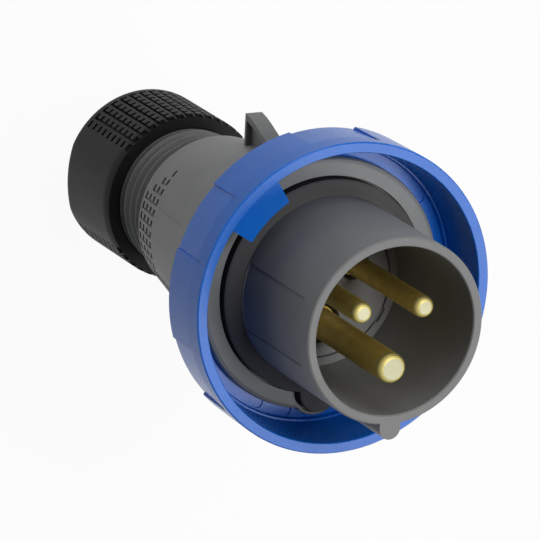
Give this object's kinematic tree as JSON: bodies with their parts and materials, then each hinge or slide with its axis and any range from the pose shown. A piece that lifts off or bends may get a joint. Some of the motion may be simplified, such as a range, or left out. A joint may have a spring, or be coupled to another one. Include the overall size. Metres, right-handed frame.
{
  "type": "industrial power plug",
  "caption": "Watertight industrial pin and sleeve plug: keyed round shroud around brass contact pins, blue bayonet locking ring, tapered grey housing and cable gland nut.",
  "frame": {"origin": "on the plug axis, in the rear face of the gland nut that the plug stands on", "axes": "+Z along the plug axis out of the nose, -Y towards the guide key of the shroud, +Y towards the lid catch on the housing"},
  "size_m": [0.0738, 0.0738, 0.1345],
  "materials": {
    "grey_plastic": "fine matt moulded grey",
    "dark_plastic": "smooth moulded dark grey",
    "gasket_rubber": "soft matt",
    "blue_plastic": "satin moulded blue",
    "black_plastic": "satin moulded black",
    "contact_brass": "turned, bright",
    "screw_steel": "zinc plated"
  },
  "bodies": {
    "plug_body": {"front_shroud": "grey_plastic", "face_gasket": "gasket_rubber", "body_seal": "gasket_rubber", "contact_carrier": "dark_plastic", "pin_retainer": "dark_plastic", "pin_line": "contact_brass", "pin_neutral": "contact_brass", "pin_earth": "contact_brass", "pin_seal_line": "gasket_rubber", "pin_seal_neutral": "gasket_rubber", "pin_seal_earth": "gasket_rubber", "terminal_screw_line": "screw_steel", "terminal_screw_neutral": "screw_steel", "terminal_screw_earth": "screw_steel", "retainer_screw_1": "screw_steel", "retainer_screw_2": "screw_steel", "retainer_screw_3": "screw_steel", "handle_housing": "grey_plastic", "gland_seal": "gasket_rubber"},
    "lock_ring": {"locking_ring": "blue_plastic"},
    "thrust_ring": {"slip_ring": "black_plastic"},
    "nut": {"gland_nut": "black_plastic"}
  },
  "joints": [
    {"name": "ring_turn", "type": "hinge", "parent": "plug_body", "child": "lock_ring", "pos_m": [0, 0, 0.1], "axis": [0, 0, 1], "range_deg": [0, 40]},
    {"name": "thrust_slide", "type": "slide", "parent": "plug_body", "child": "thrust_ring", "axis": [0, 0, 1], "range_m": [-0.006, 0]},
    {"name": "nut_turn", "type": "hinge", "parent": "thrust_ring", "child": "nut", "pos_m": [0, 0, 0.012], "axis": [0, 0, 1], "range_deg": [-1080, 0]}
  ],
  "couplings": [
    {"joint": "thrust_slide", "follows": "nut_turn", "m_per_rad": 0.00031831}
  ]
}
